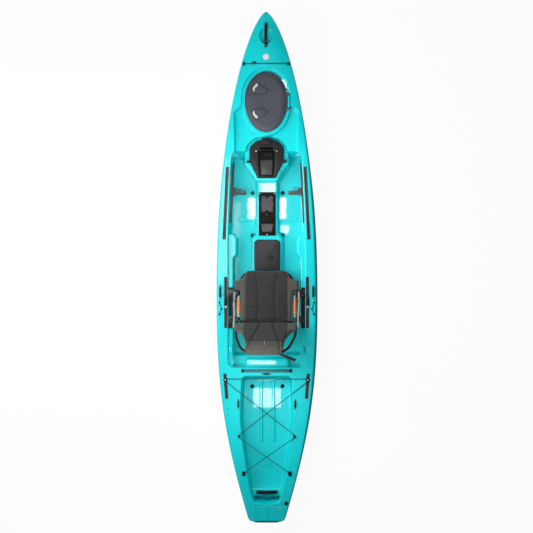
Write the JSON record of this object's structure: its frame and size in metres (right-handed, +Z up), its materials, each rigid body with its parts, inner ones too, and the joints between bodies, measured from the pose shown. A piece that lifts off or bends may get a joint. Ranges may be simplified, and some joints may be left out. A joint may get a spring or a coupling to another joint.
{
  "type": "sit-on-top fishing kayak",
  "caption": "Long sit-on-top fishing kayak with a folding framed seat on rails, foot braces, a console, hinged hatches, gear tracks, carry handles and a laced tankwell.",
  "frame": {"origin": "centre of the keel's flat, at the middle of the length and of the beam", "axes": "+Y towards the bow, +X to starboard, +Z up"},
  "size_m": [0.8456, 4.27, 0.8125],
  "materials": {
    "hull_plastic": "semi-gloss rotomoulded polyethylene, teal",
    "deck_fittings": "satin dark grey plastic",
    "hatch_plastic": "satin blue-grey plastic",
    "lever_plastic": "satin mid grey plastic",
    "console_plastic": "satin black plastic",
    "rubber": "matte black rubber",
    "pad_rubber": "matte grey rubber",
    "steel": "bright stainless steel",
    "badge": "brushed blank disc",
    "cord": "woven black shock cord",
    "seat_fabric": "dark grey woven fabric over foam",
    "frame_metal": "black powder-coated tube",
    "sleeve_orange": "orange sleeve"
  },
  "bodies": {
    "kayak": {"bow_badge": "badge", "bow_bungee": "cord", "bow_eye_left": "deck_fittings", "bow_eye_right": "deck_fittings", "bow_handle": "deck_fittings", "bungee_end_left": "deck_fittings", "bungee_end_right": "deck_fittings", "bungee_stud_fore_left": "deck_fittings", "bungee_stud_fore_right": "deck_fittings", "bungee_stud_mid_left": "deck_fittings", "bungee_stud_mid_right": "deck_fittings", "centre_pad": "pad_rubber", "centre_tray": "console_plastic", "console_body": "console_plastic", "console_pin": "console_plastic", "foot_rail_left": "deck_fittings", "foot_rail_right": "deck_fittings", "gear_track_front_left": "deck_fittings", "gear_track_front_right": "deck_fittings", "gear_track_mid_left": "deck_fittings", "gear_track_mid_right": "deck_fittings", "gear_track_rear_left": "deck_fittings", "gear_track_rear_right": "deck_fittings", "hatch_gasket": "rubber", "hatch_hinge": "deck_fittings", "hatch_pin": "steel", "hull": "hull_plastic", "rear_bar": "deck_fittings", "seat_rail_left": "deck_fittings", "seat_rail_right": "deck_fittings", "side_handle_left": "deck_fittings", "side_handle_right": "deck_fittings", "stern_bungee": "cord", "stern_handle": "deck_fittings", "tank_eye_left": "deck_fittings", "tank_eye_right": "deck_fittings"},
    "hatch_lid": {"hatch_lid": "hatch_plastic"},
    "hatch_lever_fore": {"hatch_lever_fore": "lever_plastic"},
    "hatch_lever_aft": {"hatch_lever_aft": "lever_plastic"},
    "console_lid": {"console_lid": "console_plastic"},
    "console_latch_left": {"console_latch_left": "console_plastic"},
    "console_latch_right": {"console_latch_right": "console_plastic"},
    "centre_knob": {"centre_knob": "console_plastic"},
    "centre_latch": {"centre_latch": "console_plastic"},
    "mid_lid": {"mid_hatch_lid": "console_plastic"},
    "mid_plug": {"mid_hatch_plug": "console_plastic"},
    "pedal_left": {"pedal_left": "deck_fittings"},
    "pedal_right": {"pedal_right": "deck_fittings"},
    "trigger_left": {"trigger_left": "steel"},
    "trigger_right": {"trigger_right": "steel"},
    "seat": {"seat_frame": "frame_metal", "seat_cushion": "seat_fabric", "seat_sleeve_left": "sleeve_orange", "seat_sleeve_right": "sleeve_orange"},
    "rail_knob_left": {"rail_knob_left": "deck_fittings"},
    "rail_knob_right": {"rail_knob_right": "deck_fittings"},
    "back": {"back_frame": "frame_metal", "back_cushion": "seat_fabric"},
    "drain_plug": {"drain_plug": "rubber"},
    "bow_hook": {"bow_bungee_hook": "deck_fittings"}
  },
  "joints": [
    {"name": "hatch_lid_hinge", "type": "hinge", "parent": "kayak", "child": "hatch_lid", "pos_m": [0.1885, 1.385, 0.3975], "axis": [0, 1, 0], "range_deg": [0, 110]},
    {"name": "hatch_lever_fore_turn", "type": "hinge", "parent": "hatch_lid", "child": "hatch_lever_fore", "pos_m": [0, 1.478, 0.4131], "axis": [0, 0, 1], "range_deg": [0, 30]},
    {"name": "hatch_lever_aft_turn", "type": "hinge", "parent": "hatch_lid", "child": "hatch_lever_aft", "pos_m": [0, 1.299, 0.4131], "axis": [0, 0, -1], "range_deg": [0, 30]},
    {"name": "console_lid_hinge", "type": "hinge", "parent": "kayak", "child": "console_lid", "pos_m": [0, 0.985, 0.3295], "axis": [-1, 0, 0], "range_deg": [0, 100]},
    {"name": "console_latch_left_turn", "type": "hinge", "parent": "kayak", "child": "console_latch_left", "pos_m": [-0.156, 0.885, 0.344], "axis": [0, 0, -1], "range_deg": [0, 90]},
    {"name": "console_latch_right_turn", "type": "hinge", "parent": "kayak", "child": "console_latch_right", "pos_m": [0.156, 0.885, 0.344], "axis": [0, 0, 1], "range_deg": [0, 90]},
    {"name": "centre_knob_turn", "type": "hinge", "parent": "kayak", "child": "centre_knob", "pos_m": [0, 0.449, 0.1966], "axis": [0, 0, 1], "continuous": true},
    {"name": "centre_latch_hinge", "type": "hinge", "parent": "kayak", "child": "centre_latch", "pos_m": [0, 0.366, 0.2023], "axis": [-1, 0, 0], "range_deg": [0, 80]},
    {"name": "mid_hatch_hinge", "type": "hinge", "parent": "kayak", "child": "mid_lid", "pos_m": [0, 0.236, 0.1903], "axis": [-1, 0, 0], "range_deg": [0, 80]},
    {"name": "mid_plug_turn", "type": "hinge", "parent": "mid_lid", "child": "mid_plug", "pos_m": [0.0326, 0.0869, 0.222], "axis": [0, 0, 1], "range_deg": [0, 90]},
    {"name": "pedal_left_slide", "type": "slide", "parent": "kayak", "child": "pedal_left", "axis": [0.0499, 0.9988, 0], "range_m": [-0.2, 0.1]},
    {"name": "trigger_left_turn", "type": "hinge", "parent": "pedal_left", "child": "trigger_left", "pos_m": [-0.26279, 0.66241, 0.202], "axis": [0.9988, -0.0499, 0], "range_deg": [0, 20], "stiffness_Nm_per_rad": 0.05, "springref_deg": -28.65},
    {"name": "pedal_right_slide", "type": "slide", "parent": "kayak", "child": "pedal_right", "axis": [-0.0499, 0.9988, 0], "range_m": [-0.2, 0.1]},
    {"name": "trigger_right_turn", "type": "hinge", "parent": "pedal_right", "child": "trigger_right", "pos_m": [0.26279, 0.66241, 0.202], "axis": [0.9988, 0.0499, 0], "range_deg": [0, 20], "stiffness_Nm_per_rad": 0.05, "springref_deg": -28.65},
    {"name": "seat_slide", "type": "slide", "parent": "kayak", "child": "seat", "axis": [0, 1, 0], "range_m": [-0.045, 0.022]},
    {"name": "rail_knob_left_turn", "type": "hinge", "parent": "seat", "child": "rail_knob_left", "pos_m": [-0.3035, -0.23, 0.296], "axis": [0, 0, 1], "continuous": true},
    {"name": "rail_knob_right_turn", "type": "hinge", "parent": "seat", "child": "rail_knob_right", "pos_m": [0.3035, -0.23, 0.296], "axis": [0, 0, 1], "continuous": true},
    {"name": "back_hinge", "type": "hinge", "parent": "seat", "child": "back", "pos_m": [0, -0.47, 0.335], "axis": [-1, 0, 0], "range_deg": [0, 70]},
    {"name": "drain_plug_turn", "type": "hinge", "parent": "kayak", "child": "drain_plug", "pos_m": [0.164, -1.971, 0.295], "axis": [0, 0, 1], "range_deg": [0, 360]},
    {"name": "bow_hook_slide", "type": "slide", "parent": "kayak", "child": "bow_hook", "axis": [0.988, 0, 0.1542], "range_m": [-0.02, 0.02]}
  ]
}
